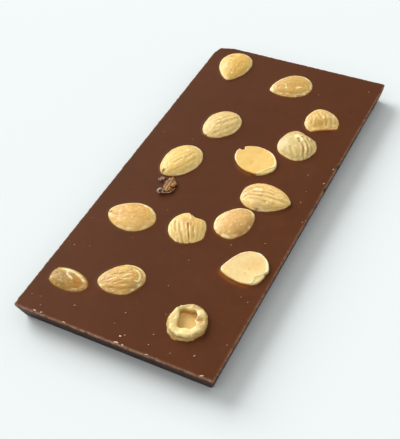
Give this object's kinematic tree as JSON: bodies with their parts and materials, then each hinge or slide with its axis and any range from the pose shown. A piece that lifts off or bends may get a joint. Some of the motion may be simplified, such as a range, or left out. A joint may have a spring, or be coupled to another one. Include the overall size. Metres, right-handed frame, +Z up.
{
  "type": "chocolate bar",
  "caption": "Flat milk chocolate tablet with whole, split and broken almonds pressed into its top and sloped mould-made sides.",
  "frame": {"origin": "centre of the flat underside", "axes": "+X across the short side, +Y along the long side, +Z up"},
  "size_m": [0.077, 0.16, 0.0103],
  "materials": {
    "chocolate": "satin gloss milk chocolate, moulded",
    "almond": "blanched almond, slightly oily satin",
    "almond_pale": "split almond face, smooth pale satin",
    "almond_brown": "almond filmed with chocolate, satin",
    "almond_skin": "dry brown almond skin, matte"
  },
  "bodies": {
    "root": {"tablet": "chocolate", "almond_01": "almond", "almond_02": "almond", "almond_03": "almond", "almond_04": "almond", "almond_05": "almond", "almond_06": "almond", "almond_07": "almond_pale", "almond_08": "almond", "almond_09": "almond", "almond_10": "almond", "almond_11": "almond", "almond_12": "almond_pale", "almond_13": "almond_brown", "almond_14": "almond", "almond_15": "almond", "skin_flake": "almond_skin", "skin_scrap": "almond_skin"}
  },
  "joints": []
}
